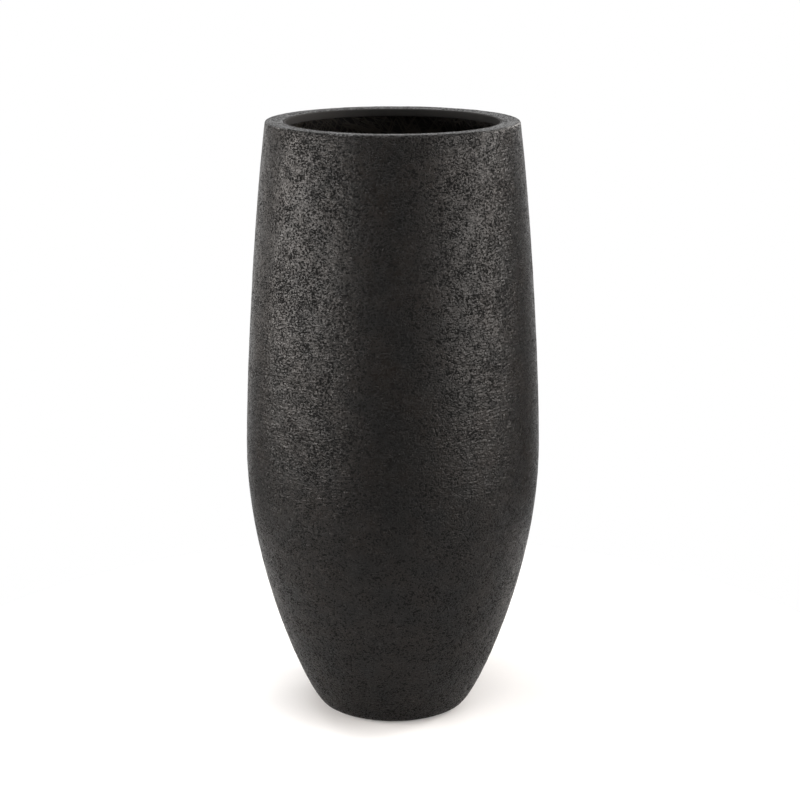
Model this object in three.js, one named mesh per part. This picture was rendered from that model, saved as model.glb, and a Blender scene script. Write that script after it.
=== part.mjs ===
// A tall floor planter of moulded glass-fibre laminate: a slender jar shape that swells to a belly
// below mid-height, with a flat turned-in rim and a closed floor with a plugged drain.
//
// Millimetres, +Z up. The origin is on the ground, on the planter's axis.
// Every round piece is turned about Z from a closed section of (radius, height) points.
import * as THREE from 'three';

// ---- Driving dimensions: the moulded skin -------------------------------------------------------
const OVERALL_HEIGHT = 900;
const BELLY_RADIUS = 221.5;
const BELLY_HEIGHT = 402;
const MOUTH_RADIUS = 157;
const LIP_WIDTH = 30;
const RIM_LEAN = THREE.MathUtils.degToRad(7.4);
const RIM_CORNER_RADIUS = 4;
const FOOT_RADIUS = 111;
const FOOT_FLARE = THREE.MathUtils.degToRad(40.7);
const FOOT_CORNER_RADIUS = 12;

// How far each end of the skin's two curves holds its direction.
const FOOT_PULL = 42;
const BELLY_PULL_DOWN = 178;
const BELLY_PULL_UP = 97;
const RIM_PULL = 146;

// ---- Driving dimensions: walls, rim and floor ---------------------------------------------------
const WALL = 5;
const FLOOR_THICKNESS = 6;
const FLANGE_THICKNESS = 6;
const FLANGE_FILLET = 8;
const FLANGE_FILLET_LIMIT = 0.4;

const RETURN_THICKNESS = 3;
const RETURN_DEPTH = 13;
const RETURN_EDGE_RADIUS = 1;
const RETURN_LEDGE_THICKNESS = 3;
const RETURN_LEDGE_SHARE = 0.5;

const BOARD_THICKNESS = 9;
const COVING_HEIGHT = 26;
const COVING_WIDTH = 24;
const COVING_EDGE = 1.5;

// ---- Driving dimensions: drain and feet ---------------------------------------------------------
const DRAIN_BORE_RADIUS = 9;
const BUSH_WALL = 3;
const BUSH_FLANGE_WIDTH = 8;
const BUSH_FLANGE_THICKNESS = 2.5;

const PLUG_TAPER = 1;
const PLUG_HEAD_OVERHANG = 6;
const PLUG_HEAD_THICKNESS = 4;
const PLUG_NECK_RADIUS = 4.5;
const PLUG_NECK_HEIGHT = 9;
const PLUG_KNOB_RADIUS = 8;

const PAD_COUNT = 4;
const PAD_RADIUS = 14;
const PAD_THICKNESS = 2.5;
const PAD_EDGE_INSET = 6;
const PAD_CHAMFER = 0.5;

// ---- Clearances ---------------------------------------------------------------------------------
const GLUE_LINE = 0.3;
const PLUG_CLEARANCE = 0.3;
const FREE_RING_MARGIN = 1;

// ---- Facets -------------------------------------------------------------------------------------
const TURN_STEPS = 64;
const DRAIN_TURN_STEPS = 32;
const PAD_TURN_STEPS = 24;
const CURVE_STEPS = 9;
const CORNER_STEPS = 3;
const FILLET_STEPS = 3;
const LEAST_STEP = 0.3;

const QUARTER_TURN = Math.PI / 2;

// ---- Heights that follow from them --------------------------------------------------------------
const SHELL_BOTTOM = PAD_THICKNESS + GLUE_LINE;
const FLOOR_TOP = SHELL_BOTTOM + FLOOR_THICKNESS;
const BOARD_BOTTOM = FLOOR_TOP + GLUE_LINE;
const BOARD_TOP = BOARD_BOTTOM + BOARD_THICKNESS;
const COVING_BOTTOM = BOARD_TOP + GLUE_LINE;
const COVING_TOP = COVING_BOTTOM + COVING_HEIGHT;
const BUSH_SEAT = BOARD_TOP + GLUE_LINE;
const PLUG_SEAT = BUSH_SEAT + BUSH_FLANGE_THICKNESS + PLUG_CLEARANCE;
const FLANGE_BOTTOM = OVERALL_HEIGHT - FLANGE_THICKNESS;

// ---- Radii that follow from them ----------------------------------------------------------------
const RIM_RADIUS = MOUTH_RADIUS + LIP_WIDTH;
const FLANGE_INNER_RADIUS = MOUTH_RADIUS + RETURN_THICKNESS + GLUE_LINE;
const BUSH_OUTER_RADIUS = DRAIN_BORE_RADIUS + BUSH_WALL;
const BUSH_FLANGE_RADIUS = BUSH_OUTER_RADIUS + BUSH_FLANGE_WIDTH;
const DRAIN_HOLE_RADIUS = BUSH_OUTER_RADIUS + GLUE_LINE;
const PLUG_HEAD_RADIUS = DRAIN_BORE_RADIUS + PLUG_HEAD_OVERHANG;
const FOOT_FLAT_RADIUS = FOOT_RADIUS - tangentLength(FOOT_CORNER_RADIUS, FOOT_FLARE);

function point(radius, height) {
  return new THREE.Vector2(radius, height);
}

// From the sharp corner of a level face and a wall that leans off upright, to where the round starts.
function tangentLength(cornerRadius, lean) {
  return cornerRadius * Math.tan((QUARTER_TURN - lean) / 2);
}

function directionAt(angle) {
  return point(Math.cos(angle), Math.sin(angle));
}

// Points on an arc, both ends included.
function arcPoints(centre, radius, fromAngle, toAngle, steps) {
  const points = [];
  for (let i = 0; i <= steps; i += 1) {
    const angle = THREE.MathUtils.lerp(fromAngle, toAngle, i / steps);
    points.push(centre.clone().addScaledVector(directionAt(angle), radius));
  }
  return points;
}

// Points a given depth inside a curve that runs upward with its solid on the left.
function offsetCurve(curve, depth, steps) {
  const points = [];
  for (let i = 0; i <= steps; i += 1) {
    const tangent = curve.getTangent(i / steps);
    const inward = point(-tangent.y, tangent.x);
    points.push(curve.getPoint(i / steps).addScaledVector(inward, depth));
  }
  return points;
}

// ---- The moulded skin, as one line from the foot to the rim -------------------------------------

const footCentre = point(FOOT_FLAT_RADIUS, SHELL_BOTTOM + FOOT_CORNER_RADIUS);
const rimCentre = point(
  RIM_RADIUS - tangentLength(RIM_CORNER_RADIUS, RIM_LEAN),
  OVERALL_HEIGHT - RIM_CORNER_RADIUS,
);
const belly = point(BELLY_RADIUS, SHELL_BOTTOM + BELLY_HEIGHT);

function lowerCurve() {
  const start = footCentre.clone().addScaledVector(directionAt(-FOOT_FLARE), FOOT_CORNER_RADIUS);
  const flareDirection = directionAt(QUARTER_TURN - FOOT_FLARE);
  return new THREE.CubicBezierCurve(
    start,
    start.clone().addScaledVector(flareDirection, FOOT_PULL),
    point(belly.x, belly.y - BELLY_PULL_DOWN),
    belly,
  );
}

function upperCurve() {
  const end = rimCentre.clone().addScaledVector(directionAt(RIM_LEAN), RIM_CORNER_RADIUS);
  const leanDirection = directionAt(QUARTER_TURN + RIM_LEAN);
  return new THREE.CubicBezierCurve(
    belly,
    point(belly.x, belly.y + BELLY_PULL_UP),
    end.clone().addScaledVector(leanDirection, -RIM_PULL),
    end,
  );
}

// The wall a given depth inside the skin, from the foot's round corner up to the rim's.
function wallLine(depth) {
  const footRound = FOOT_CORNER_RADIUS - depth;
  const corner = footRound > 0
    ? arcPoints(footCentre, footRound, -QUARTER_TURN, -FOOT_FLARE, CORNER_STEPS).slice(0, -1)
    : [];
  const lower = offsetCurve(lowerCurve(), depth, CURVE_STEPS);
  const upper = offsetCurve(upperCurve(), depth, CURVE_STEPS).slice(1);
  return [...corner, ...lower, ...upper];
}

// Where a rising line of points crosses a height, carried on straight up or down past its ends.
function radiusAt(line, height) {
  if (height <= line[0].y) {
    return line[0].x;
  }
  for (let i = 1; i < line.length; i += 1) {
    if (height <= line[i].y) {
      const share = (height - line[i - 1].y) / (line[i].y - line[i - 1].y);
      return THREE.MathUtils.lerp(line[i - 1].x, line[i].x, share);
    }
  }
  return line[line.length - 1].x;
}

// The stretch of a rising line between two heights, with both ends cut level.
function stretch(line, low, high) {
  const between = line.filter((p) => p.y > low + LEAST_STEP && p.y < high - LEAST_STEP);
  return [point(radiusAt(line, low), low), ...between, point(radiusAt(line, high), high)];
}

// How far the lip's underside runs from its inner edge out to the wall.
function flangeReach() {
  return radiusAt(wallLine(WALL), FLANGE_BOTTOM) - FLANGE_INNER_RADIUS;
}

// ---- Turned pieces ------------------------------------------------------------------------------

// A solid turned about Z from a section that runs anticlockwise: up the outside, down the inside.
function turned(section, steps = TURN_STEPS) {
  const geometry = new THREE.LatheGeometry([...section, section[0].clone()], steps);
  return geometry.rotateX(QUARTER_TURN);
}

function bodyShell() {
  const skin = [
    ...arcPoints(footCentre, FOOT_CORNER_RADIUS, -QUARTER_TURN, -FOOT_FLARE, CORNER_STEPS).slice(0, -1),
    ...offsetCurve(lowerCurve(), 0, CURVE_STEPS),
    ...offsetCurve(upperCurve(), 0, CURVE_STEPS).slice(1),
    ...arcPoints(rimCentre, RIM_CORNER_RADIUS, RIM_LEAN, QUARTER_TURN, CORNER_STEPS).slice(1),
  ];
  const innerWall = wallLine(WALL);
  const filletSize = Math.min(FLANGE_FILLET, flangeReach() * FLANGE_FILLET_LIMIT);
  const filletBottom = FLANGE_BOTTOM - filletSize;
  const fillet = new THREE.QuadraticBezierCurve(
    point(radiusAt(innerWall, FLANGE_BOTTOM) - filletSize, FLANGE_BOTTOM),
    point(radiusAt(innerWall, FLANGE_BOTTOM), FLANGE_BOTTOM),
    point(radiusAt(innerWall, filletBottom), filletBottom),
  ).getPoints(FILLET_STEPS);
  return turned([
    point(DRAIN_HOLE_RADIUS, SHELL_BOTTOM),
    ...skin,
    point(FLANGE_INNER_RADIUS, OVERALL_HEIGHT),
    point(FLANGE_INNER_RADIUS, FLANGE_BOTTOM),
    ...fillet.slice(0, -1),
    ...stretch(innerWall, FLOOR_TOP, filletBottom).reverse(),
    point(DRAIN_HOLE_RADIUS, FLOOR_TOP),
  ]);
}

// The smooth band inside the mouth, with a ledge that is bonded up under the flange.
function rimReturn() {
  const outer = MOUTH_RADIUS + RETURN_THICKNESS;
  const ledgeTop = FLANGE_BOTTOM - GLUE_LINE;
  const ledgeBottom = ledgeTop - RETURN_LEDGE_THICKNESS;
  const ledgeOuter = FLANGE_INNER_RADIUS + flangeReach() * RETURN_LEDGE_SHARE;
  const bandBottom = OVERALL_HEIGHT - RETURN_DEPTH;
  const edge = RETURN_EDGE_RADIUS;
  return turned([
    point(MOUTH_RADIUS, bandBottom + edge),
    point(MOUTH_RADIUS + edge, bandBottom),
    point(outer, bandBottom),
    point(outer, ledgeBottom),
    point(ledgeOuter, ledgeBottom),
    point(ledgeOuter, ledgeTop),
    point(outer, ledgeTop),
    point(outer, OVERALL_HEIGHT),
    point(MOUTH_RADIUS + edge, OVERALL_HEIGHT),
    point(MOUTH_RADIUS, OVERALL_HEIGHT - edge),
  ]);
}

function covingToeRadius() {
  return radiusAt(wallLine(WALL + GLUE_LINE), COVING_BOTTOM) - COVING_WIDTH;
}

// The top is in three rings: one under the coving, a free one, and one under the bush's flange.
function floorBoard() {
  const outer = radiusAt(wallLine(WALL + GLUE_LINE), BOARD_BOTTOM);
  return turned([
    point(DRAIN_HOLE_RADIUS, BOARD_BOTTOM),
    point(outer, BOARD_BOTTOM),
    point(outer, BOARD_TOP),
    point(covingToeRadius() - FREE_RING_MARGIN, BOARD_TOP),
    point(BUSH_FLANGE_RADIUS + FREE_RING_MARGIN, BOARD_TOP),
    point(DRAIN_HOLE_RADIUS, BOARD_TOP),
  ]);
}

// The hollow-faced fillet of laminate that ties the board to the wall all the way round.
function floorCoving() {
  const back = stretch(wallLine(WALL + GLUE_LINE), COVING_BOTTOM, COVING_TOP);
  const foot = back[0];
  const head = back[back.length - 1];
  const toe = point(covingToeRadius(), COVING_BOTTOM);
  const face = new THREE.QuadraticBezierCurve(
    point(head.x - COVING_EDGE, COVING_TOP),
    point(foot.x - COVING_EDGE, COVING_BOTTOM + COVING_EDGE),
    point(toe.x, COVING_BOTTOM + COVING_EDGE),
  ).getPoints(FILLET_STEPS);
  return turned([toe, ...back, ...face]);
}

// ---- Drain --------------------------------------------------------------------------------------

function drainBush() {
  const flangeTop = BUSH_SEAT + BUSH_FLANGE_THICKNESS;
  return turned([
    point(DRAIN_BORE_RADIUS, SHELL_BOTTOM),
    point(BUSH_OUTER_RADIUS, SHELL_BOTTOM),
    point(BUSH_OUTER_RADIUS, BUSH_SEAT),
    point(BUSH_FLANGE_RADIUS, BUSH_SEAT),
    point(BUSH_FLANGE_RADIUS, flangeTop),
    point(DRAIN_BORE_RADIUS, flangeTop),
  ], DRAIN_TURN_STEPS);
}

// A tapered stopper with a waisted knob, pushed into the bush from inside the planter.
function drainPlug() {
  const topRadius = DRAIN_BORE_RADIUS - PLUG_CLEARANCE;
  const headTop = PLUG_SEAT + PLUG_HEAD_THICKNESS;
  const knobBottom = headTop + PLUG_NECK_HEIGHT;
  const knobCentre = point(0, knobBottom + PLUG_KNOB_RADIUS / 2);
  const knobRise = Math.asin(0.5);
  const knob = arcPoints(knobCentre, PLUG_KNOB_RADIUS, -knobRise, QUARTER_TURN, CORNER_STEPS * 2);
  const section = [
    point(0, SHELL_BOTTOM),
    point(topRadius - PLUG_TAPER, SHELL_BOTTOM),
    point(topRadius, PLUG_SEAT),
    point(PLUG_HEAD_RADIUS, PLUG_SEAT),
    point(PLUG_HEAD_RADIUS, headTop),
    point(PLUG_NECK_RADIUS, headTop),
    point(PLUG_NECK_RADIUS, knobBottom),
    ...knob.slice(0, -1),
    point(0, knobCentre.y + PLUG_KNOB_RADIUS),
  ];
  return new THREE.LatheGeometry(section, DRAIN_TURN_STEPS).rotateX(QUARTER_TURN);
}

// ---- Feet ---------------------------------------------------------------------------------------

function footPad() {
  return new THREE.LatheGeometry([
    point(0, 0),
    point(PAD_RADIUS - PAD_CHAMFER, 0),
    point(PAD_RADIUS, PAD_CHAMFER),
    point(PAD_RADIUS, PAD_THICKNESS),
    point(0, PAD_THICKNESS),
  ], PAD_TURN_STEPS).rotateX(QUARTER_TURN);
}

// ---- Finishes -----------------------------------------------------------------------------------

function finish(color, roughness, metalness = 0) {
  return new THREE.MeshStandardMaterial({ color, roughness, metalness });
}

// ---- Assembly -----------------------------------------------------------------------------------

const planter = new THREE.Group();

function addPiece(name, geometry, material) {
  const mesh = new THREE.Mesh(geometry, material);
  mesh.name = name;
  planter.add(mesh);
  return mesh;
}

addPiece('body_shell', bodyShell(), finish(0x37342f, 0.6));
addPiece('rim_return', rimReturn(), finish(0x2e2d2c, 0.45));
addPiece('floor_board', floorBoard(), finish(0x1d1c1b, 0.7));
addPiece('floor_coving', floorCoving(), finish(0x1a1918, 0.5));
addPiece('drain_bush', drainBush(), finish(0x242424, 0.4));
addPiece('drain_plug', drainPlug(), finish(0x151515, 0.65));

const padPitchRadius = FOOT_FLAT_RADIUS - PAD_EDGE_INSET - PAD_RADIUS;
for (let i = 0; i < PAD_COUNT; i += 1) {
  const pad = addPiece(`foot_pad_${i + 1}`, footPad(), finish(0x1b1b1b, 0.85));
  const bearing = (i / PAD_COUNT) * 2 * Math.PI;
  pad.position.set(padPitchRadius * Math.cos(bearing), padPitchRadius * Math.sin(bearing), 0);
}

export default planter;
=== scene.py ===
"""A tall floor planter of moulded glass-fibre laminate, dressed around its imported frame."""
import logging
import math
from dataclasses import dataclass
from enum import Enum
from functools import cache, partial
from typing import Any, Callable, Sequence

import bmesh
import bpy
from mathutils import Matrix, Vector, noise


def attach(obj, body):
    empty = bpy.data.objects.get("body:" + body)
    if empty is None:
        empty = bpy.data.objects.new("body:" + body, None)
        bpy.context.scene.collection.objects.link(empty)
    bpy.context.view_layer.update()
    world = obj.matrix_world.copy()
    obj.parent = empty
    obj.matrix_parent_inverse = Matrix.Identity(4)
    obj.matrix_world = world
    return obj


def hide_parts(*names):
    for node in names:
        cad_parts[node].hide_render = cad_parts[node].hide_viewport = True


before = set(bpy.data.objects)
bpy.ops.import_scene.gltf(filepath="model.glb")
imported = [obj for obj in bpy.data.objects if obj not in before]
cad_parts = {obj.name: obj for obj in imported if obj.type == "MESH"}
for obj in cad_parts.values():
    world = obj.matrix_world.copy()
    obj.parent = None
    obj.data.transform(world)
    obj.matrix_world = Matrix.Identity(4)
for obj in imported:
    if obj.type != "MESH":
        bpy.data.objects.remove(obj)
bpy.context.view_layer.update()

LOG = logging.getLogger("planter")
MM = 0.001
PLANTER_BODY = "planter"
PLUG_BODY = "plug"
BAKE_MAP = "OFBake"
RUN_LAYER = "run"
MERGE_DISTANCE = 1e-6
ON_AXIS = 1e-7
TOUCHING = 1e-5
MAP_MARGIN = 0.002

Point = tuple[float, float]
Section = list[Point]
Socket = bpy.types.NodeSocket
NodeMaker = Callable[..., Socket]


class Slot(Enum):
    """The record's material slots."""

    TEXTURED_LAMINATE = "textured_laminate"
    SMOOTH_GELCOAT = "smooth_gelcoat"
    COATED_BOARD = "coated_board"
    RAW_LAMINATE = "raw_laminate"
    BUSH_PLASTIC = "bush_plastic"
    PLUG_RUBBER = "plug_rubber"
    PAD_RUBBER = "pad_rubber"


# ---- Colours and nodes ----


def linear(hex_colour: str) -> tuple[float, float, float, float]:
    """Turns an sRGB hex colour into the linear values that a shader reads.

    Args:
        hex_colour: Six hex digits, with or without a leading hash.

    Returns:
        Red, green, blue and an alpha of 1.
    """
    digits = hex_colour.lstrip("#")
    channels = []
    for start in (0, 2, 4):
        value = int(digits[start:start + 2], 16) / 255
        channels.append(value / 12.92 if value <= 0.04045 else ((value + 0.055) / 1.055) ** 2.4)
    return (channels[0], channels[1], channels[2], 1.0)


def add_node(
    tree: bpy.types.NodeTree,
    kind: str,
    inputs: dict[int | str, Any] | None = None,
    output: int | str = 0,
    **settings: Any,
) -> Socket:
    """Adds one node, sets its properties and sockets, and links what feeds it.

    Args:
        tree: The material's or world's node tree.
        kind: The node's type name, without the leading ShaderNode.
        inputs: A value or a source socket for each input, by name or by place.
        output: The output that is given back, by name or by place.
        settings: The node's own properties.

    Returns:
        The chosen output.
    """
    node = tree.nodes.new(f"ShaderNode{kind}")
    for name, value in settings.items():
        setattr(node, name, value)
    for key, value in (inputs or {}).items():
        if isinstance(value, Socket):
            tree.links.new(value, node.inputs[key])
        else:
            node.inputs[key].default_value = value
    return node.outputs[output] if node.outputs else node.inputs[0]


def per_mm(millimetres: float) -> float:
    """Gives the texture scale at which one cell of a pattern is this many millimetres."""
    return 1 / (millimetres * MM)


@dataclass(frozen=True)
class Grain:
    """A noise pattern: the real size of its cells, and how fine and rough its finer parts are."""

    cell_mm: float
    detail: float = 1.0
    roughness: float = 0.5

    def over(self, place: Socket) -> dict[str, Any]:
        """Gives the noise's sockets, laid over a place."""
        scale = per_mm(self.cell_mm)
        return {"Vector": place, "Scale": scale, "Detail": self.detail, "Roughness": self.roughness}


@dataclass(frozen=True)
class Ramp:
    """A range of values, and the range that it is stretched to."""

    start: float
    end: float
    low: float = 0.0
    high: float = 1.0

    def of(self, value: Socket) -> dict[str, Any]:
        """Gives the stretch's sockets, fed by a value."""
        span = {"From Min": self.start, "From Max": self.end}
        return {"Value": value, **span, "To Min": self.low, "To Max": self.high}


@dataclass(frozen=True)
class Finish:
    """What every finish shares: a name, and the tree that its nodes are added to."""

    name: str

    @cache
    def material(self) -> bpy.types.Material:
        """Makes the material on first use, with the nodes that the surface method adds.

        Returns:
            The material, ready to be assigned.
        """
        made = bpy.data.materials.new(self.name)
        made.use_nodes = True
        tree = made.node_tree
        tree.nodes.clear()
        node = partial(add_node, tree)
        place = node("TexCoord", output="Object")
        node("OutputMaterial", {"Surface": self.surface(node, place)})
        return made

    def surface(self, node: NodeMaker, place: Socket) -> Socket:
        """Adds the finish's nodes.

        Args:
            node: Adds one node to the material's tree.
            place: The object coordinates, in metres.

        Returns:
            The shader's output.
        """
        raise NotImplementedError


@dataclass(frozen=True)
class TexturedLaminate(Finish):
    """Stone-effect gelcoat on glass-fibre laminate, cast against a pitted and leathery mould.

    To the eye: nearly black with a broad, dull sheen that thousands of small dark pits break up.
    The pits crowd together in patches, with smoother and brighter skin between them.
    """

    name: str = "stone_textured_gelcoat"
    skin: str = "#151515"
    warm: str = "#1c1917"
    # The pits' colour is painted shade: darker than the skin to stand in for the shade that falls
    # into each hollow.
    pit: str = "#060606"
    pit_gloss: float = 1.0
    specular: float = 0.24
    pit_mm: tuple[float, float, float] = (3.0, 3.0, 2.3)
    pit_bend: float = 0.6
    pit_edge: Ramp = Ramp(0.545, 0.575)
    # The hollow starts outside the dull part, so that a pit's lip still catches the light.
    hollow: Ramp = Ramp(0.47, 0.61, 1.0, 0.0)
    # Low on the body the mould is worn smoother, so there are fewer pits.
    worn: Ramp = Ramp(0.3, 0.65, -0.012, 0.0)
    crowding: Ramp = Ramp(0.8, 1.2, -0.055, 0.055)
    sheen: Ramp = Ramp(0.4, 0.6, 0.27, 0.31)
    mottle: Ramp = Ramp(0.35, 0.65)
    patches: Grain = Grain(40.0, 3.0, 0.6)
    clusters: Grain = Grain(13.0, 2.0, 0.55)
    clouds: Grain = Grain(50.0, 4.0, 0.6)
    leather: Grain = Grain(6.0, 3.0, 0.6)
    grain: Grain = Grain(3.0)
    drag_mm: tuple[float, float, float] = (15.0, 15.0, 3.0)
    drag_detail: float = 2.0
    drag_roughness: float = 0.6
    pit_depth_mm: float = 0.6
    grain_depth_mm: float = 0.3
    drag_depth_mm: float = 1.1
    leather_depth_mm: float = 0.55

    def surface(self, node: NodeMaker, place: Socket) -> Socket:
        """Adds the pits with painted shade in them, their patches, the leathery relief and the
        mottled colour.

        Args:
            node: Adds one node to the material's tree.
            place: The object coordinates, in metres.

        Returns:
            The shader's output.
        """
        cluster = node("TexNoise", self.clusters.over(place))
        depth = self.pit_field(node, place, cluster)
        pits = node("MapRange", self.pit_edge.of(depth), interpolation_type="SMOOTHSTEP")
        mottle = node("MapRange", self.mottle.of(node("TexNoise", self.clouds.over(place))))
        tones = {6: linear(self.skin), 7: linear(self.warm)}
        skin = node("Mix", {0: mottle, **tones}, output=2, data_type="RGBA")
        # Painted shade: the pits are coloured darker for the shade that falls into them, on top of
        # their real dull gloss.
        colour = node("Mix", {0: pits, 6: skin, 7: linear(self.pit)}, output=2, data_type="RGBA")
        plain = node("MapRange", self.sheen.of(cluster))
        gloss = node("Mix", {0: pits, 2: plain, 3: self.pit_gloss})
        hollow = node("MapRange", self.hollow.of(depth), interpolation_type="SMOOTHSTEP")
        bump = {"Height": hollow, "Distance": self.pit_depth_mm * MM}
        normal = node("Bump", {**bump, "Normal": self.relief(node, place)})
        look = {"Base Color": colour, "Roughness": gloss, "Specular IOR Level": self.specular}
        return node("BsdfPrincipled", {**look, "Normal": normal})

    def pit_field(self, node: NodeMaker, place: Socket, cluster: Socket) -> Socket:
        """Adds the field whose high parts are pits.

        Args:
            node: Adds one node to the material's tree.
            place: The object coordinates, in metres.
            cluster: The pattern in which the pits crowd together.

        Returns:
            The field's value.
        """
        patch = node("TexNoise", self.patches.over(place))
        scale = tuple(per_mm(size) for size in self.pit_mm)
        flat = node("Mapping", {"Vector": place, "Scale": scale})
        bend = {"Detail": 1.0, "Distortion": self.pit_bend}
        worms = node("TexNoise", {"Vector": flat, "Scale": 1.0, **bend})
        crowd = node("Math", {0: patch, 1: cluster}, operation="ADD")
        share = node("MapRange", self.crowding.of(crowd))
        worn = node("MapRange", self.worn.of(node("SeparateXYZ", {"Vector": place}, output="Z")))
        depth = node("Math", {0: worms, 1: share}, operation="ADD")
        return node("Math", {0: depth, 1: worn}, operation="ADD")

    def relief(self, node: NodeMaker, place: Socket) -> Socket:
        """Adds the leathery skin, the marks dragged round it and the small grain.

        Args:
            node: Adds one node to the material's tree.
            place: The object coordinates, in metres.

        Returns:
            The surface's direction.
        """
        scale = tuple(per_mm(size) for size in self.drag_mm)
        pulled = node("Mapping", {"Vector": place, "Scale": scale})
        rough = {"Detail": self.drag_detail, "Roughness": self.drag_roughness}
        drag = node("TexNoise", {"Vector": pulled, "Scale": 1.0, **rough})
        leather = node("TexNoise", self.leather.over(place))
        grain = node("TexNoise", self.grain.over(place))
        normal = node("Bump", {"Height": leather, "Distance": self.leather_depth_mm * MM})
        for height, depth_mm in ((drag, self.drag_depth_mm), (grain, self.grain_depth_mm)):
            normal = node("Bump", {"Height": height, "Distance": depth_mm * MM, "Normal": normal})
        return normal


@dataclass(frozen=True)
class RawLaminate(Finish):
    """Chopped-strand mat in black polyester resin, rolled out by hand and left as laid.

    To the eye: nearly black, with short crossed strands standing up a little under glossy resin.
    """

    name: str = "chopped_strand_laminate"
    resin: str = "#1c1b1a"
    strand: str = "#4a4640"
    # A real strand is about 1.3 mm wide, which the whole planter's picture can't show.
    strand_width_mm: float = 2.6
    strand_length_mm: float = 50.0
    turns: tuple[tuple[float, float, float], ...] = (
        (0.5, 0.3, 0.3),
        (0.8, 0.1, 1.5),
        (0.6, 0.2, 2.7),
        (0.9, 0.4, 4.0),
        (1.3, 0.2, 5.3),
        (1.2, 0.1, 0.9),
    )
    ridge: Ramp = Ramp(0.57, 0.67)
    flow: Grain = Grain(30.0, 3.0, 0.55)
    gloss: Ramp = Ramp(0.35, 0.65, 0.26, 0.46)
    flow_depth_mm: float = 0.5
    strand_depth_mm: float = 0.3

    def surface(self, node: NodeMaker, place: Socket) -> Socket:
        """Adds crossed layers of strands and the resin's uneven flow.

        Args:
            node: Adds one node to the material's tree.
            place: The object coordinates, in metres.

        Returns:
            The shader's output.
        """
        strands: Socket | float = 0.0
        length, width = self.strand_length_mm * MM, self.strand_width_mm * MM
        # Each layer is a stack of thin sheets, which any surface cuts into long strips.
        for turn in self.turns:
            sheet = {"Rotation": turn, "Scale": (length, length, width)}
            laid = node("Mapping", {"Vector": place, **sheet}, vector_type="TEXTURE")
            layer = node("TexNoise", {"Vector": laid, "Scale": 1.0, "Detail": 1.0})
            ridge = node("MapRange", self.ridge.of(layer), interpolation_type="SMOOTHSTEP")
            strands = node("Math", {0: strands, 1: ridge}, operation="MAXIMUM")
        flow = node("TexNoise", self.flow.over(place))
        tones = {6: linear(self.resin), 7: linear(self.strand)}
        colour = node("Mix", {0: strands, **tones}, output=2, data_type="RGBA")
        gloss = node("MapRange", self.gloss.of(flow))
        normal = node("Bump", {"Height": flow, "Distance": self.flow_depth_mm * MM})
        raised = {"Height": strands, "Distance": self.strand_depth_mm * MM}
        normal = node("Bump", {**raised, "Normal": normal})
        return node("BsdfPrincipled", {"Base Color": colour, "Roughness": gloss, "Normal": normal})


@dataclass(frozen=True)
class CoatedBoard(Finish):
    """A stiffening board under a brushed flow coat of black resin: dull gloss with brush marks."""

    name: str = "flow_coated_board"
    coat: str = "#181716"
    thin: str = "#24211f"
    brush_mm: tuple[float, float, float] = (40.0, 1.8, 4.0)
    brush_turn: float = 0.5
    brush_bend: float = 0.6
    cover: Grain = Grain(35.0, 3.0)
    thin_share: Ramp = Ramp(0.45, 0.65)
    gloss: Ramp = Ramp(0.3, 0.7, 0.4, 0.62)
    thin_depth_mm: float = 0.4
    brush_depth_mm: float = 0.25

    def surface(self, node: NodeMaker, place: Socket) -> Socket:
        """Adds brush marks, thin places and small runs in the coat.

        Args:
            node: Adds one node to the material's tree.
            place: The object coordinates, in metres.

        Returns:
            The shader's output.
        """
        sizes = tuple(size * MM for size in self.brush_mm)
        sweep = {"Rotation": (0.0, 0.0, self.brush_turn), "Scale": sizes}
        swept = node("Mapping", {"Vector": place, **sweep}, vector_type="TEXTURE")
        bend = {"Detail": 2.0, "Distortion": self.brush_bend}
        brush = node("TexNoise", {"Vector": swept, "Scale": 1.0, **bend})
        cover = node("TexNoise", self.cover.over(place))
        thin = node("MapRange", self.thin_share.of(cover), interpolation_type="SMOOTHSTEP")
        tones = {6: linear(self.coat), 7: linear(self.thin)}
        colour = node("Mix", {0: thin, **tones}, output=2, data_type="RGBA")
        gloss = node("MapRange", self.gloss.of(brush))
        normal = node("Bump", {"Height": thin, "Distance": self.thin_depth_mm * MM})
        marks = {"Height": brush, "Distance": self.brush_depth_mm * MM}
        normal = node("Bump", {**marks, "Normal": normal})
        return node("BsdfPrincipled", {"Base Color": colour, "Roughness": gloss, "Normal": normal})


@dataclass(frozen=True)
class CloudedFinish(Finish):
    """What the plain finishes share: two near tones in soft clouds, under a fine grain."""

    body: str
    cloud: str
    clouds: Grain
    share: Ramp
    grain: Grain
    grain_depth_mm: float
    gloss: Ramp
    grain_sets_gloss: bool = False
    wave: Grain | None = None
    wave_depth_mm: float = 0.0
    ior: float = 1.5
    specular: float = 0.5

    def surface(self, node: NodeMaker, place: Socket) -> Socket:
        """Adds the clouds, the grain and the waviness.

        Args:
            node: Adds one node to the material's tree.
            place: The object coordinates, in metres.

        Returns:
            The shader's output.
        """
        clouds = node("MapRange", self.share.of(node("TexNoise", self.clouds.over(place))))
        grain = node("TexNoise", self.grain.over(place))
        tones = {6: linear(self.body), 7: linear(self.cloud)}
        colour = node("Mix", {0: clouds, **tones}, output=2, data_type="RGBA")
        gloss = node("MapRange", self.gloss.of(grain if self.grain_sets_gloss else clouds))
        bump = {"Height": grain, "Distance": self.grain_depth_mm * MM}
        if self.wave:
            wave = node("TexNoise", self.wave.over(place))
            bump["Normal"] = node("Bump", {"Height": wave, "Distance": self.wave_depth_mm * MM})
        look = {"Base Color": colour, "Roughness": gloss, "Normal": node("Bump", bump)}
        light = {"IOR": self.ior, "Specular IOR Level": self.specular}
        return node("BsdfPrincipled", {**look, **light})


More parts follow.
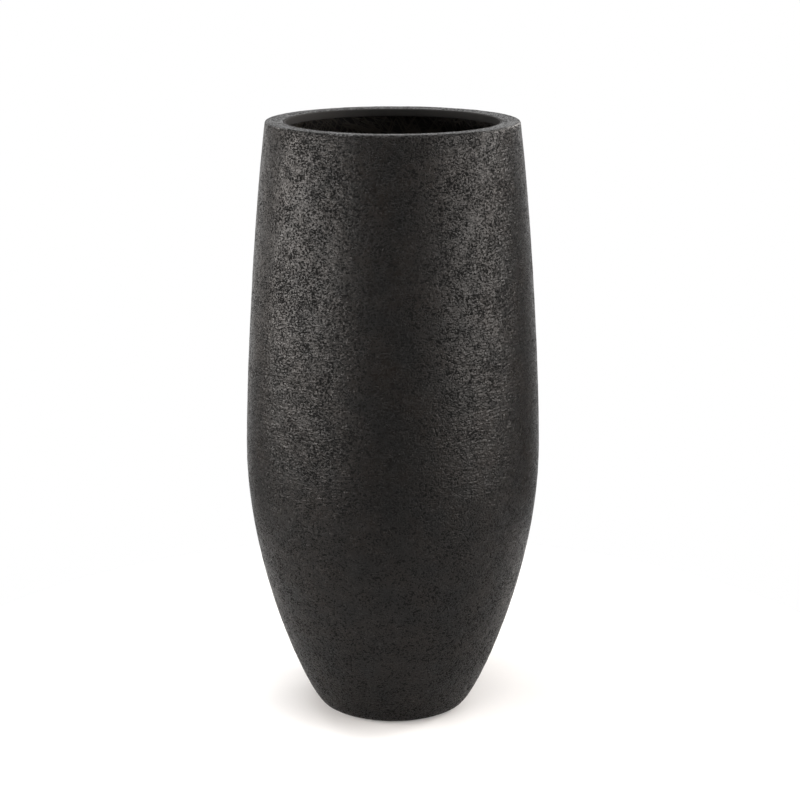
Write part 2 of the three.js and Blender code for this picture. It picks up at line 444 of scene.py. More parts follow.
@dataclass(frozen=True)
class SmoothGelcoat(CloudedFinish):
    """Plain gelcoat off a polished mould: dark, faintly clouded and wavy, with a dull sheen."""

    name: str = "smooth_dark_gelcoat"
    body: str = "#1c1b1a"
    cloud: str = "#242221"
    clouds: Grain = Grain(22.0, 4.0, 0.6)
    share: Ramp = Ramp(0.35, 0.65)
    grain: Grain = Grain(1.2)
    grain_depth_mm: float = 0.04
    gloss: Ramp = Ramp(0.0, 1.0, 0.6, 0.72)
    wave: Grain | None = Grain(18.0)
    wave_depth_mm: float = 0.25
    specular: float = 0.25


@dataclass(frozen=True)
class MouldedPlastic(CloudedFinish):
    """Injection-moulded polypropylene: charcoal, paler where rubbed, with a spark-eroded grain."""

    name: str = "moulded_polypropylene"
    body: str = "#242424"
    cloud: str = "#2f2f2e"
    clouds: Grain = Grain(6.0, 3.0)
    share: Ramp = Ramp(0.5, 0.7)
    grain: Grain = Grain(0.7)
    grain_depth_mm: float = 0.06
    gloss: Ramp = Ramp(0.3, 0.7, 0.36, 0.5)
    grain_sets_gloss: bool = True
    ior: float = 1.49


@dataclass(frozen=True)
class Rubber(CloudedFinish):
    """Moulded rubber: deep matt black with a fine grain and soft grey clouds of bloom."""

    name: str = "moulded_rubber"
    body: str = "#151515"
    cloud: str = "#232221"
    clouds: Grain = Grain(7.0, 4.0, 0.6)
    share: Ramp = Ramp(0.42, 0.68)
    grain: Grain = Grain(0.9, 2.0)
    grain_depth_mm: float = 0.08
    gloss: Ramp = Ramp(0.0, 1.0, 0.6, 0.85)
    ior: float = 1.52


# ---- Sections ----


def arc(centre: Point, radius: float, start: float, end: float, steps: int) -> Section:
    """Gives points on an arc, both ends included.

    Args:
        centre: The arc's centre as radius and height.
        radius: The arc's radius.
        start: The first angle, in radians from outward.
        end: The last angle.
        steps: The number of steps.

    Returns:
        The points in order.
    """
    points = []
    for i in range(steps + 1):
        angle = start + (end - start) * i / steps
        points.append((centre[0] + radius * math.cos(angle), centre[1] + radius * math.sin(angle)))
    return points


def curved(start: Vector, knee: Vector, end: Vector, steps: int) -> Section:
    """Gives points on a curve that leaves and arrives along the lines to its knee.

    Args:
        start: The first point.
        knee: The corner that the curve cuts off.
        end: The last point.
        steps: The number of steps.

    Returns:
        The points in order, both ends included.
    """
    points = []
    for i in range(steps + 1):
        t = i / steps
        p = start * (1 - t) ** 2 + knee * (2 * t * (1 - t)) + end * t ** 2
        points.append((p.x, p.y))
    return points


def rounded(corner: Point, before: Point, after: Point, size: float, steps: int = 3) -> Section:
    """Rounds one corner of a section with a short curve.

    Args:
        corner: The sharp corner.
        before: The point that the section comes from.
        after: The point that it goes on to.
        size: How far along each side the round starts.
        steps: The number of steps round the corner.

    Returns:
        The points that take the corner's place.
    """
    c, a, b = Vector(corner), Vector(before), Vector(after)
    start, end = c + (a - c).normalized() * size, c + (b - c).normalized() * size
    return curved(start, c, end, steps)


def soften(section: Section, sizes: dict[int, float], steps: int = 3) -> Section:
    """Rounds the chosen corners of a closed section.

    Args:
        section: The closed section, without a repeated end.
        sizes: The size of the round for each corner that has one, by its place.
        steps: The number of steps round each corner.

    Returns:
        The section with its corners rounded.
    """
    points: Section = []
    for i, corner in enumerate(section):
        if i in sizes:
            after = section[(i + 1) % len(section)]
            points += rounded(corner, section[i - 1], after, sizes[i], steps)
        else:
            points.append(corner)
    return points


def refined(section: Section, step: float) -> Section:
    """Adds points to a line so that no side is longer than a step.

    Args:
        section: The line's points.
        step: The longest side that is left.

    Returns:
        The line with the points added.
    """
    points = [section[0]]
    for a, b in zip(section, section[1:]):
        count = max(1, math.ceil(math.dist(a, b) / step))
        for i in range(1, count + 1):
            t = i / count
            points.append((a[0] + (b[0] - a[0]) * t, a[1] + (b[1] - a[1]) * t))
    return points


@dataclass(frozen=True)
class Bezier:
    """One cubic curve of a section, and the number of steps its length is measured in."""

    knots: tuple[Point, Point, Point, Point]
    fine: int = 400

    def at(self, t: float) -> Vector:
        """Gives the point at a share of the curve."""
        a, b, c, d = (Vector(k) for k in self.knots)
        s = 1 - t
        return a * s ** 3 + b * (3 * s * s * t) + c * (3 * s * t * t) + d * t ** 3

    def heading(self, t: float) -> Vector:
        """Gives the curve's direction at a share of it."""
        a, b, c, d = (Vector(k) for k in self.knots)
        s = 1 - t
        return ((b - a) * (s * s) + (c - b) * (2 * s * t) + (d - c) * (t * t)).normalized()

    def inside(self, depth: float, step: float) -> Section:
        """Gives evenly spaced points a depth inside the curve, which runs upward.

        Args:
            depth: How far inside, in metres.
            step: The spacing that is aimed at.

        Returns:
            The points, both ends included.
        """
        fine, runs = self.fine, [0.0]
        for i in range(fine):
            runs.append(runs[-1] + (self.at((i + 1) / fine) - self.at(i / fine)).length)
        count = max(2, round(runs[-1] / step))
        points, place = [], 0
        for i in range(count + 1):
            target = runs[-1] * i / count
            while place < fine - 1 and runs[place + 1] < target:
                place += 1
            span = runs[place + 1] - runs[place]
            t = (place + (target - runs[place]) / span) / fine
            heading = self.heading(t)
            p = self.at(t) + Vector((-heading.y, heading.x)) * depth
            points.append((p.x, p.y))
        return points


@dataclass(frozen=True)
class Outline:
    """The skin's line from the foot to the rim, in metres."""

    height: float = 0.9
    bottom: float = 0.0028
    belly_radius: float = 0.2215
    belly_height: float = 0.402
    rim_radius: float = 0.187
    rim_lean: float = math.radians(7.4)
    rim_corner: float = 0.004
    foot_radius: float = 0.111
    foot_flare: float = math.radians(40.7)
    foot_corner: float = 0.012
    foot_pull: float = 0.042
    belly_pull_down: float = 0.178
    belly_pull_up: float = 0.097
    rim_pull: float = 0.146
    foot_steps: int = 5
    rim_steps: int = 6

    def foot_centre(self) -> Point:
        """Gives the centre of the foot's round."""
        tangent = self.foot_corner * math.tan((math.pi / 2 - self.foot_flare) / 2)
        return (self.foot_radius - tangent, self.bottom + self.foot_corner)

    def rim_centre(self) -> Point:
        """Gives the centre of the rim's round."""
        tangent = self.rim_corner * math.tan((math.pi / 2 - self.rim_lean) / 2)
        return (self.rim_radius - tangent, self.height - self.rim_corner)

    def belly(self) -> Point:
        """Gives the widest point."""
        return (self.belly_radius, self.bottom + self.belly_height)

    def lower(self) -> Bezier:
        """Gives the curve from the foot's round to the belly."""
        start = Vector(arc(self.foot_centre(), self.foot_corner, -self.foot_flare, 0.0, 1)[0])
        flare = Vector((math.sin(self.foot_flare), math.cos(self.foot_flare)))
        pulled = start + flare * self.foot_pull
        belly = self.belly()
        return Bezier(
            (tuple(start), tuple(pulled), (belly[0], belly[1] - self.belly_pull_down), belly)
        )

    def upper(self) -> Bezier:
        """Gives the curve from the belly to the rim's round."""
        end = Vector(arc(self.rim_centre(), self.rim_corner, self.rim_lean, 0.0, 1)[0])
        back = Vector((math.sin(self.rim_lean), -math.cos(self.rim_lean)))
        pulled = end + back * self.rim_pull
        belly = self.belly()
        return Bezier((belly, (belly[0], belly[1] + self.belly_pull_up), tuple(pulled), tuple(end)))

    def skin(self, step: float) -> Section:
        """Gives the outside line, from under the foot to the top of the rim's round.

        Args:
            step: The spacing on the long curves.

        Returns:
            The points in order.
        """
        rim = arc(self.rim_centre(), self.rim_corner, self.rim_lean, math.pi / 2, self.rim_steps)
        return self.wall(0.0, step) + rim[1:]

    def wall(self, depth: float, step: float) -> Section:
        """Gives the wall's line a depth inside the skin.

        Args:
            depth: How far inside, in metres.
            step: The spacing on the long curves.

        Returns:
            The points in order, from the foot's round up.
        """
        radius, steps = self.foot_corner - depth, self.foot_steps
        foot = arc(self.foot_centre(), radius, -math.pi / 2, -self.foot_flare, steps)
        lower, upper = self.lower().inside(depth, step), self.upper().inside(depth, step)
        return foot[:-1] + lower + upper[1:]


def radius_at(line: Section, height: float) -> float:
    """Finds where a rising line crosses a height.

    Args:
        line: The points, from low to high.
        height: The height that is looked for.

    Returns:
        The radius there, or that of the nearer end.
    """
    if height <= line[0][1]:
        return line[0][0]
    for (r0, z0), (r1, z1) in zip(line, line[1:]):
        if height <= z1:
            return r0 + (r1 - r0) * (height - z0) / (z1 - z0)
    return line[-1][0]


def stretch(line: Section, low: float, high: float, least: float = 0.001) -> Section:
    """Cuts the part of a rising line between two heights.

    Args:
        line: The points, from low to high.
        low: The lower height.
        high: The upper height.
        least: How near an end an inner point may be.

    Returns:
        The points, with both ends level with the heights.
    """
    inner = [p for p in line if low + least < p[1] < high - least]
    return [(radius_at(line, low), low), *inner, (radius_at(line, high), high)]


# ---- Turned meshes ----


def turned(section: Section, steps: int, closed: bool = True) -> bmesh.types.BMesh:
    """Turns a section about Z into a closed body with a map for its finish.

    Args:
        section: Radius and height of each point, in order.
        steps: The number of steps in the full turn.
        closed: Whether the section closes on itself; otherwise both ends are on the axis.

    Returns:
        The body, with outward faces.
    """
    body = bmesh.new()
    run_layer = body.verts.layers.float.new(RUN_LAYER)
    ring, run, last = [], 0.0, section[0]
    for point in section:
        run += math.dist(point, last)
        last = point
        vert = body.verts.new((point[0], 0.0, point[1]))
        vert[run_layer] = run
        ring.append(vert)
    edges = [body.edges.new(pair) for pair in zip(ring, ring[1:])]
    if closed:
        edges.append(body.edges.new((ring[-1], ring[0])))
    bmesh.ops.spin(
        body,
        geom=ring + edges,
        cent=(0.0, 0.0, 0.0),
        axis=(0.0, 0.0, 1.0),
        angle=math.tau,
        steps=steps,
        use_merge=True,
    )
    bmesh.ops.remove_doubles(body, verts=body.verts, dist=MERGE_DISTANCE)
    bmesh.ops.recalc_face_normals(body, faces=body.faces)
    total = run + (math.dist(last, section[0]) if closed else 0.0)
    map_turned(body, run_layer, total, steps)
    return body


def map_turned(
    body: bmesh.types.BMesh,
    run_layer: bmesh.types.BMLayerItem,
    total: float,
    steps: int,
) -> None:
    """Lays a turned body's faces out on a map: the turn across, the section's run up.

    Args:
        body: The turned body.
        run_layer: Each vertex's distance along the section.
        total: The whole section's length.
        steps: The number of steps in the turn.
    """
    uv_layer = body.loops.layers.uv.new(BAKE_MAP)
    used = 1 - 2 * MAP_MARGIN
    for face in body.faces:
        centre = face.calc_center_median()
        middle = math.atan2(centre.y, centre.x) % math.tau
        runs = [loop.vert[run_layer] for loop in face.loops]
        wraps = max(runs) - min(runs) > total / 2
        for loop in face.loops:
            spot = loop.vert.co
            flat = math.hypot(spot.x, spot.y) < ON_AXIS
            angle = middle if flat else math.atan2(spot.y, spot.x) % math.tau
            if angle - middle > math.pi:
                angle -= math.tau
            elif middle - angle > math.pi:
                angle += math.tau
            along = loop.vert[run_layer]
            if wraps and along < total / 2:
                along += total
            u = MAP_MARGIN + used * min(max(angle / math.tau, 0.0), 1.0)
            v = MAP_MARGIN + used * along / total
            loop[uv_layer].uv = (u, v)


def add_piece(
    name: str,
    body: bmesh.types.BMesh,
    finishes: Sequence[Finish],
    stands_for: str,
    carrier: str = PLANTER_BODY,
) -> bpy.types.Object:
    """Makes a finished mesh a piece of the planter.

    Args:
        name: The piece's name.
        body: The mesh, which is used up.
        finishes: The finishes in the order of the faces' material places.
        stands_for: The solid that the piece takes the place of.
        carrier: The body that the piece rides on.

    Returns:
        The new object, at the origin.
    """
    mesh = bpy.data.meshes.new(name)
    for face in body.faces:
        face.smooth = True
    body.to_mesh(mesh)
    body.free()
    for finish in finishes:
        mesh.materials.append(finish.material())
    piece = bpy.data.objects.new(name, mesh)
    bpy.context.scene.collection.objects.link(piece)
    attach(piece, carrier)
    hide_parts(stands_for)
    LOG.info("%s: %d faces", name, len(mesh.polygons))
    return piece


def pressed(
    body: bmesh.types.BMesh,
    chosen: Callable[[bmesh.types.BMVert], float],
    relief: Callable[[Vector], float],
) -> None:
    """Presses a body's surface in by a relief.

    Args:
        body: The mesh.
        chosen: How much of the relief each vertex takes, from 0 to 1.
        relief: The depth at a place, in metres, never below 0.
    """
    body.normal_update()
    moves = []
    for vert in body.verts:
        share = chosen(vert)
        if share > 0:
            moves.append((vert, vert.normal * (-relief(vert.co) * share)))
    for vert, move in moves:
        vert.co += move
    body.normal_update()


@dataclass(frozen=True)
class Lumps:
    """A smooth relief in space: its lumps' size, weight and depth, and its pattern's shift."""

    size: float
    depth: float = 0.0
    weight: float = 0.5
    shift: tuple[float, float, float] = (0.0, 0.0, 0.0)

    def at(self, place: Vector) -> float:
        """Gives the relief's height at a place, from about -1 to 1."""
        return noise.noise(place / self.size + Vector(self.shift))

    def press(self, place: Vector) -> float:
        """Gives how far the surface is pressed in at a place, in metres."""
        return self.depth * min(max(0.5 + self.weight * self.at(place), 0.0), 1.0)


# ---- The moulded shell ----


@dataclass
class ShellMoulding:
    """The one-piece moulded skin: foot, wall and turned-in lip, pitted outside and raw inside."""

    outline: Outline
    wall: float = 5 * MM
    floor_thickness: float = 6 * MM
    lip_thickness: float = 6 * MM
    lip_inner_radius: float = 160.3 * MM
    lip_edge: float = 0.5 * MM
    lip_fall: float = 1.2 * MM
    fillet: float = 8 * MM
    drain_hole_radius: float = 12.3 * MM
    turn_steps: int = 288
    skin_step: float = 5.2 * MM
    inner_step: float = 16 * MM
    lip_step: float = 4.5 * MM
    floor_step: float = 24 * MM
    under_step: float = 12 * MM
    skin_depth: float = 0.55 * MM
    skin_level: float = 0.42
    broad: Lumps = Lumps(46 * MM, weight=0.3)
    folds: Lumps = Lumps(21 * MM, weight=0.22, shift=(7.0, 3.0, 1.0))
    small: Lumps = Lumps(13 * MM, weight=0.26, shift=(2.0, 9.0, 5.0))
    laid: Lumps = Lumps(38 * MM, 0.8 * MM, 0.6, (4.0, 4.0, 8.0))
    flat_foot: float = 1 * MM
    flat_edge: float = 1 * MM
    flat_edge_depth: float = 2 * MM
    laid_from: float = 30 * MM
    laid_height: float = 60 * MM

    def section(self) -> tuple[Section, int]:
        """Gives the closed section, and the place in it where the skin ends.

        Returns:
            The section, and its last place on the pitted skin.
        """
        top, bottom = self.outline.height, self.outline.bottom
        under_lip, inner_top = top - self.lip_thickness, top - self.lip_fall
        mouth, hole = self.lip_inner_radius, self.drain_hole_radius
        floor_top = bottom + self.floor_thickness
        skin = self.outline.skin(self.skin_step)
        lip = refined([skin[-1], (mouth + self.lip_edge, inner_top)], self.lip_step)[1:]
        rim, axis = (mouth, inner_top), (0.2, inner_top)
        edge = rounded(rim, axis, (mouth, 0.0), self.lip_edge, 2)
        wall = self.outline.wall(self.wall, self.inner_step)
        corner, low = (radius_at(wall, under_lip), under_lip), under_lip - self.fillet
        below = (radius_at(wall, low), low)
        fillet = rounded(corner, (corner[0] - 1, under_lip), below, self.fillet, 4)
        down = stretch(wall, floor_top, low)[::-1]
        floor = refined([(down[-1][0], floor_top), (hole, floor_top)], self.floor_step)
        under = refined([(hole, bottom), skin[0]], self.under_step)[:-1]
        section = under + skin + lip + edge[1:]
        last = len(section) - 1
        return section + [(mouth, under_lip)] + fillet[:-1] + down + floor[1:], last

    def relief(self, place: Vector) -> float:
        """Gives the leathery depth of the skin at a place.

        Args:
            place: The place, in metres.

        Returns:
            The depth, in metres.
        """
        share = self.skin_level + self.broad.weight * self.broad.at(place)
        share += self.folds.weight * (1 - abs(self.folds.at(place) * 2))
        share += self.small.weight * self.small.at(place)
        return self.skin_depth * min(max(share, 0.0), 1.0)

    def build(self) -> None:
        """Turns the section, presses the relief in and dresses both sides."""
        section, last = self.section()
        body = turned(section, self.turn_steps)
        run_layer = body.verts.layers.float[RUN_LAYER]
        skin_run = sum(math.dist(a, b) for a, b in zip(section[:last], section[1:last + 1]))
        for face in body.faces:
            middle = sum(loop.vert[run_layer] for loop in face.loops) / len(face.loops)
            inner = middle > skin_run or self.at_drain(face)
            face.material_index = 1 if inner else 0
        low, high = self.outline.bottom + self.flat_foot, self.outline.height - self.flat_edge_depth
        near = self.lip_inner_radius + self.flat_edge

        def outside(vert: bmesh.types.BMVert) -> float:
            """Takes the skin, and spares the foot's flat and the lip's inner edge."""
            spared = vert.co.z < low or (vert.co.z > high and vert.co.xy.length < near)
            return 0.0 if spared or vert[run_layer] >= skin_run else 1.0

        def inside(vert: bmesh.types.BMVert) -> float:
            """Takes the inner wall above the coving."""
            within = vert[run_layer] > skin_run + self.laid_from and vert.co.z > self.laid_height
            return 1.0 if within else 0.0

        pressed(body, outside, self.relief)
        pressed(body, inside, self.laid.press)
        finishes = (TexturedLaminate(), RawLaminate())
        add_piece("moulded_shell", body, finishes, "body_shell")

    def at_drain(self, face: bmesh.types.BMFace) -> bool:
        """Says whether a face lines the drain hole."""
        return all(v.co.xy.length < self.drain_hole_radius + TOUCHING for v in face.verts)


@dataclass
class RimBand:
    """The smooth ring bonded inside the mouth, with its ledge up under the lip."""

    mouth_radius: float = 157 * MM
    outer_radius: float = 160 * MM
    top: float = 898.8 * MM
    bottom: float = 887 * MM
    edge: float = 1 * MM
    ledge_edge: float = 0.5 * MM
    back_edge: float = 0.3 * MM
    lip_edge: float = 1.6 * MM
    ledge_top: float = 893.7 * MM
    ledge_bottom: float = 890.7 * MM
    ledge_radius: float = 169.5 * MM
    turn_steps: int = 288

    def build(self) -> None:
        """Turns the band with its soft edges."""
        inner, outer, ledge = self.mouth_radius, self.outer_radius, self.ledge_radius
        section = [(inner, self.bottom), (outer, self.bottom), (outer, self.ledge_bottom)]
        section += [(ledge, self.ledge_bottom), (ledge, self.ledge_top), (outer, self.ledge_top)]
        section += [(outer, self.top), (inner, self.top)]
        rounds = {0: self.edge, 3: self.ledge_edge, 4: self.ledge_edge, 6: self.back_edge}
        body = turned(soften(section, {**rounds, 7: self.lip_edge}, 4), self.turn_steps)
        add_piece("rim_band", body, (SmoothGelcoat(),), "rim_return")


# ---- The floor ----


@dataclass
class PlanterFloor:
    """The stiffening board on the moulded bottom, and the laminate coving around it."""

    outline: Outline
    clearance: float = 5.3 * MM
    board_bottom: float = 9.1 * MM
    board_top: float = 18.1 * MM
    hole_radius: float = 12.3 * MM
    coving_bottom: float = 18.4 * MM
    coving_top: float = 44.4 * MM
    coving_width: float = 24 * MM
    coving_edge: float = 1.5 * MM
    coving_steps: int = 14
    wall_step: float = 4 * MM
    board_step: float = 5 * MM
    board_edges: tuple[float, float, float] = (0.5 * MM, 0.8 * MM, 0.6 * MM)
    coat: Lumps = Lumps(24 * MM, 0.25 * MM)
    coat_from: float = 22 * MM
    mat: Lumps = Lumps(9 * MM, 0.5 * MM)
    mat_from: float = 2.2 * MM
    turn_steps: int = 192

    def build(self) -> None:
        """Makes the board and the coving."""
        self.build_board()
        self.build_coving()

    def build_board(self) -> None:
        """Turns the board, with a coat that lies a little uneven on its top."""
        line = self.outline.wall(self.clearance, self.wall_step)
        outer, top = radius_at(line, self.board_bottom), self.board_top
        hole, bottom = self.hole_radius, self.board_bottom
        corners = [(hole, bottom), (outer, bottom), (outer, top), (hole, top)]
        soft = soften(corners, dict(enumerate(self.board_edges, 1)))
        body = turned(refined(soft + soft[:1], self.board_step)[:-1], self.turn_steps)
        flat = top - 0.1 * MM

        def coated(vert: bmesh.types.BMVert) -> float:
            """Takes the open part of the top."""
            return 1.0 if vert.co.z > flat and vert.co.xy.length > self.coat_from else 0.0

        pressed(body, coated, self.coat.press)
        add_piece("coated_floor_board", body, (CoatedBoard(),), "floor_board")

    def build_coving(self) -> None:
        """Turns the hollow-faced fillet and roughens its face as hand-laid mat."""
        line = self.outline.wall(self.clearance, self.wall_step)
        back = stretch(line, self.coving_bottom, self.coving_top, 2 * MM)
        foot, head, edge = back[0], back[-1], self.coving_edge
        toe = (foot[0] - self.coving_width, self.coving_bottom)
        start = Vector((head[0] - edge, self.coving_top))
        hollow = Vector((foot[0] - edge, self.coving_bottom + edge))
        end = Vector((toe[0], self.coving_bottom + edge))
        face = curved(start, hollow, end, self.coving_steps)
        body = turned(refined([toe, *back], self.wall_step) + face, self.turn_steps)
        run_layer = body.verts.layers.float[RUN_LAYER]
        back_run = sum(math.dist(a, b) for a, b in zip([toe, *back], back))

        def laid(vert: bmesh.types.BMVert) -> float:
            """Takes the face, and spares the back and the bottom."""
            return 1.0 if vert[run_layer] > back_run + self.mat_from else 0.0

        pressed(body, laid, self.mat.press)
        add_piece("laminate_coving", body, (RawLaminate(),), "floor_coving")


# ---- The drain ----


@dataclass
class DrainBush:
    """The flanged plastic bush that lines the drain hole."""

    bore_radius: float = 9 * MM
    outer_radius: float = 12 * MM
    flange_radius: float = 20 * MM
    bottom: float = 2.8 * MM
    seat: float = 18.4 * MM
    flange_top: float = 20.9 * MM
    turn_steps: int = 96

    def build(self) -> None:
        """Turns the bush with moulded rounds."""
        bore, outer, flange = self.bore_radius, self.outer_radius, self.flange_radius
        corners = [(bore, self.bottom), (outer, self.bottom), (outer, self.seat)]
        corners += [(flange, self.seat), (flange, self.flange_top), (bore, self.flange_top)]
        rounds = {0: 0.5 * MM, 1: 0.6 * MM, 3: 0.4 * MM, 4: 1.1 * MM, 5: 0.9 * MM}
        body = turned(soften(corners, rounds, 4), self.turn_steps)
        add_piece("flanged_bush", body, (MouldedPlastic(),), "drain_bush")


@dataclass
class DrainPlug:
    """The rubber stopper: a ribbed taper, a thin head and a waisted knob to pull it by."""

    bottom: float = 2.8 * MM
    tip_radius: float = 7.7 * MM
    top_radius: float = 8.7 * MM
    seat: float = 21.2 * MM
    head_radius: float = 15 * MM
    head_thickness: float = 4 * MM
    neck_radius: float = 4.5 * MM
    neck_height: float = 9 * MM
    knob_radius: float = 8 * MM
    tip_edge: float = 0.9 * MM
    under_edge: float = 0.6 * MM
    head_edge: float = 1.6 * MM
    neck_foot: float = 2.2 * MM
    neck_top: float = 1 * MM
    waist_drop: float = 1.6 * MM
    knob_edge: float = 0.7 * MM
    seat_step: tuple[float, float] = (0.25 * MM, 0.6 * MM)
    ribs_from: float = 1.4 * MM
    ribs_to: float = 1.2 * MM
    rib_count: int = 3
    rib_steps: int = 48
    groove: float = 0.45 * MM
    turn_steps: int = 96

    def build(self) -> None:
        """Turns the stopper."""
        seat, bottom, head, neck = self.seat, self.bottom, self.head_radius, self.neck_radius
        head_top = seat + self.head_thickness
        knob_bottom = head_top + self.neck_height
        knob_centre = (0.0, knob_bottom + self.knob_radius / 2)
        knob = arc(knob_centre, self.knob_radius, -math.asin(0.5), math.pi / 2, 16)
        waist, taper = (neck, knob_bottom), (8.0 * MM, 8 * MM)
        section = [(0.0, bottom)]
        section += rounded((self.tip_radius, bottom), (0.0, bottom), taper, self.tip_edge, 4)
        section += self.ribs()
        section += [(self.top_radius - self.seat_step[0], seat - self.seat_step[1])]
        section += [(self.top_radius, seat)]
        section += rounded((head, seat), (0.0, seat), (head, head_top), self.under_edge, 3)
        section += rounded((head, head_top), (head, seat), (0.0, head_top), self.head_edge, 5)
        section += rounded((neck, head_top), (0.02, head_top), (neck, 0.03), self.neck_foot, 5)
        section += [(neck, knob_bottom - self.waist_drop)]
        section += rounded(waist, (neck, 0.0), knob[0], self.neck_top, 4)[1:]
        section += rounded(knob[0], waist, knob[1], self.knob_edge, 3) + knob[2:-1]
        section.append((0.0, knob_centre[1] + self.knob_radius))
        body = turned(section, self.turn_steps, closed=False)
        add_piece("stopper", body, (Rubber(),), "drain_plug", PLUG_BODY)

    def ribs(self) -> Section:
        """Gives the taper's line, with sealing ribs that stand out to its full size.

        Returns:
            The points, from low to high.
        """
        points: Section = []
        start, end = self.bottom + self.ribs_from, self.seat - self.ribs_to
        for i in range(self.rib_steps + 1):
            t = i / self.rib_steps
            height = start + (end - start) * t
            rise = (height - self.bottom) / (self.seat - self.bottom)
            full = self.tip_radius + (self.top_radius - self.tip_radius) * rise
            wave = 0.5 - 0.5 * math.cos(math.tau * self.rib_count * t)
            points.append((full - self.groove * (1 - wave ** 0.7), height))
        return points


# ---- The feet ----


@dataclass
class FootPads:
    """Four thin rubber pads under the foot, with ringed treads."""

    count: int = 4
    pitch_radius: float = 85.49 * MM
    radius: float = 14 * MM
    thickness: float = 2.5 * MM
    chamfer: float = 0.5 * MM
    tread: float = 0.35 * MM
    rings: tuple[float, ...] = (4.0 * MM, 7.5 * MM, 11.0 * MM)
    ring_mouth: float = 0.6 * MM
    ring_bed: float = 0.35 * MM
    bulge: float = 0.1 * MM
    top_edge: float = 0.25 * MM
    turn_steps: int = 64

    def section(self) -> Section:
        """Gives the pad's section, from the axis under it to the axis on top.

        Returns:
            The points in order.
        """
        grooves = [(0.0, 0.0)]
        for middle in self.rings:
            grooves += [
                (middle - self.ring_mouth, 0.0),
                (middle - self.ring_bed, self.tread),
                (middle + self.ring_bed, self.tread),
                (middle + self.ring_mouth, 0.0),
            ]
        return grooves + [
            (self.radius - self.chamfer, 0.0),
            (self.radius - self.bulge, self.chamfer * 0.5),
            (self.radius, self.chamfer),
            (self.radius, self.thickness - self.top_edge),
            (self.radius - self.top_edge, self.thickness),
            (0.0, self.thickness),
        ]

    def build(self) -> None:
        """Turns one pad for each place and moves it there."""
        sheet = Rubber("cut_sheet_rubber", "#1b1b1b", "#2a2928", grain=Grain(1.4, 2.0))
        for i in range(self.count):
            bearing = math.tau * i / self.count
            body = turned(self.section(), self.turn_steps, closed=False)
            spot = Vector((math.cos(bearing), math.sin(bearing), 0.0)) * self.pitch_radius
            bmesh.ops.translate(body, verts=body.verts, vec=spot)
            number = i + 1
            name, solid = f"rubber_pad_{number}", f"foot_pad_{number}"
            add_piece(name, body, (sheet,), solid)


# ---- The studio ----


@dataclass(frozen=True)
class Softbox:
    """One soft light: where it stands, what it is turned to, its size and its strength."""

    name: str
    place: tuple[float, float, float]
    width: float
    height: float
    radiance: float
    colour: str = "#fff9f4"
    aim: tuple[float, float, float] = (0.0, 0.0, 0.8)

    def build(self) -> None:
        """Makes the light and turns it to its aim."""
        data = bpy.data.lights.new(self.name, "AREA")
        data.shape = "RECTANGLE"
        data.size, data.size_y = self.width, self.height
        data.color = linear(self.colour)[:3]
        # An area light's power, spread over its face and half the sphere, gives its radiance.
        data.energy = self.radiance * self.width * self.height * math.pi
        light = bpy.data.objects.new(self.name, data)
        light.location = self.place
        turn = (Vector(self.aim) - Vector(self.place)).to_track_quat("-Z", "Y")
        light.rotation_mode = "QUATERNION"
        light.rotation_quaternion = turn
        light.visible_camera = False
        bpy.context.scene.collection.objects.link(light)


@dataclass(frozen=True)
class FloorPaper(Finish):
    """White studio paper: white to the camera, a little darker where it is mirrored close by."""

    name: str = "studio_floor_paper"
    white: str = "#f0f0f0"
    mirrored: str = "#b4b4b4"
    lift: float = 0.08
    fade: Ramp = Ramp(0.35, 1.1)

    def surface(self, node: NodeMaker, place: Socket) -> Socket:
        """Adds the lit and the mirrored paper, and a clear one for views from below.

        Args:
            node: Adds one node to the material's tree.
            place: The object coordinates, in metres.

        Returns:
            The shader's output.
        """
        rays = node("LightPath").node.outputs
        camera, glossy = rays["Is Camera Ray"], rays["Is Glossy Ray"]
        far = node("VectorMath", {0: place}, output="Value", operation="LENGTH")
        fade = node("MapRange", self.fade.of(far), interpolation_type="SMOOTHSTEP")
        mirrored = node("BsdfDiffuse", {"Color": linear(self.mirrored)})
        white = node("BsdfDiffuse", {"Color": linear(self.white)})
        lift = node("Emission", {"Strength": self.lift})
        lit = node("AddShader", {0: white, 1: lift})
        plain = node("Emission", {"Strength": 1.0})
        close = node("MixShader", {0: glossy, 1: lit, 2: mirrored})
        near = node("MixShader", {0: fade, 1: close, 2: plain})
        direct = node("Math", {0: camera, 1: glossy}, operation="MAXIMUM")
        direct = node("Math", {0: direct, 1: rays["Is Transmission Ray"]}, operation="MAXIMUM")
        seen = node("MixShader", {0: direct, 1: mirrored, 2: near})
        # Seen from below, the floor is clear, so that the foot can be looked at.
        clear = node("BsdfTransparent")
        backside = node("NewGeometry", output="Backfacing")
        under = node("Math", {0: backside, 1: camera}, operation="MULTIPLY")
        return node("MixShader", {0: under, 1: seen, 2: clear})


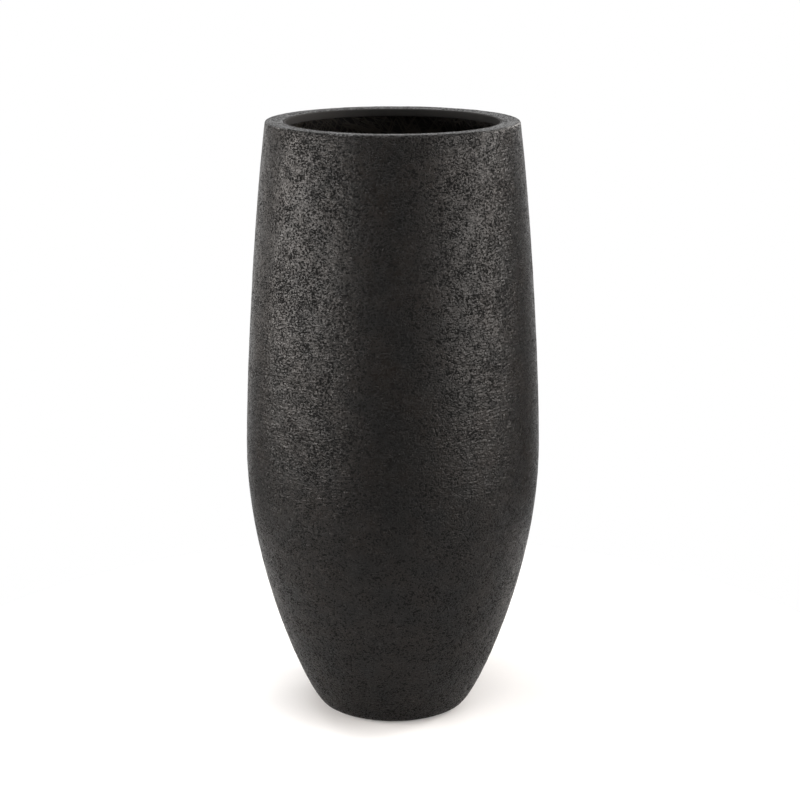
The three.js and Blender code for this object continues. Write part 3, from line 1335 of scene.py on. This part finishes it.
@dataclass
class Studio:
    """The white floor, the soft lights around the planter and the camera."""

    camera_distance: float = 3.0930
    camera_height: float = 1.2559
    camera_pitch: float = math.radians(14.1255)
    camera_turn: float = math.radians(0.198)
    lens: float = 95.0
    sensor: float = 36.0
    floor_radius: float = 0.8
    fill: float = 0.02
    behind: Ramp = Ramp(0.74, 1.0, 0.02, 1.0)
    softboxes: tuple[Softbox, ...] = (
        Softbox("left_softbox", (-1.97, -0.3, 0.68), 2.0, 0.9, 9.8),
        Softbox("left_front", (-1.41, -1.41, 0.6), 0.7, 0.7, 8.6),
        Softbox("left_rear", (-1.41, 1.41, 0.6), 1.0, 0.9, 0.8),
        Softbox("left_high", (-1.4, 1.4, 1.9), 0.7, 0.7, 5.0),
        Softbox("right_softbox", (1.87, -0.7, 0.72), 2.1, 0.9, 7.7),
        Softbox("right_front", (0.85, -1.81, 1.1), 0.7, 1.9, 1.2),
        Softbox("right_rear", (1.15, 1.64, 1.55), 0.7, 1.0, 4.2),
        Softbox("right_high", (1.93, 0.52, 1.55), 0.7, 1.0, 14.0),
        Softbox("overhead_left", (-0.7, 0.0, 2.6), 0.9, 0.9, 14.9, "#ffffff", (-0.7, 0.0, 0.0)),
        Softbox("overhead_front", (0.7, -0.7, 2.6), 0.9, 0.9, 8.5, "#ffffff", (0.7, -0.7, 0.0)),
    )

    def build(self) -> None:
        """Sets up the view, the world, the floor, the lights and the camera."""
        bpy.context.scene.view_settings.view_transform = "Standard"
        self.build_world()
        self.build_floor()
        for softbox in self.softboxes:
            softbox.build()
        self.build_camera()

    def build_world(self) -> None:
        """Makes a world that shows white, is dark behind the camera and fills softly."""
        world = bpy.data.worlds.new("studio_room")
        bpy.context.scene.world = world
        world.use_nodes = True
        tree = world.node_tree
        tree.nodes.clear()
        node = partial(add_node, tree)
        rays = node("LightPath").node.outputs
        parts = node("SeparateXYZ", {"Vector": node("TexCoord", output="Generated")}).node.outputs
        behind = node("MapRange", self.behind.of(parts["Y"]), interpolation_type="SMOOTHSTEP")
        mirrors = {0: rays["Is Glossy Ray"], 1: rays["Is Transmission Ray"]}
        mirrored = node("Math", mirrors, operation="MAXIMUM")
        seen = node("Mix", {0: mirrored, 2: self.fill, 3: behind})
        strength = node("Math", {0: seen, 1: rays["Is Camera Ray"]}, operation="MAXIMUM")
        light = node("Background", {"Color": linear("#ffffff"), "Strength": strength})
        node("OutputWorld", {"Surface": light})

    def build_floor(self) -> None:
        """Makes the floor: white all over, with the planter's shadow close to the foot."""
        body = bmesh.new()
        bmesh.ops.create_circle(body, cap_ends=True, segments=128, radius=self.floor_radius)
        mesh = bpy.data.meshes.new("studio_floor")
        body.to_mesh(mesh)
        body.free()
        mesh.materials.append(FloorPaper().material())
        floor = bpy.data.objects.new("studio_floor", mesh)
        bpy.context.scene.collection.objects.link(floor)

    def build_camera(self) -> None:
        """Makes the camera at the photograph's viewing angle."""
        data = bpy.data.cameras.new("camera")
        data.lens, data.sensor_width = self.lens, self.sensor
        camera = bpy.data.objects.new("camera", data)
        camera.location = (0.0, -self.camera_distance, self.camera_height)
        camera.rotation_euler = (math.pi / 2 - self.camera_pitch, 0.0, -self.camera_turn)
        bpy.context.scene.collection.objects.link(camera)
        bpy.context.scene.camera = camera


def main() -> None:
    """Builds the planter, piece by piece, and the studio around it."""
    logging.basicConfig(level=logging.INFO, format="%(name)s %(message)s")
    outline = Outline()
    ShellMoulding(outline).build()
    RimBand().build()
    PlanterFloor(outline).build()
    DrainBush().build()
    DrainPlug().build()
    FootPads().build()
    Studio().build()


if __name__ == "__main__":
    main()
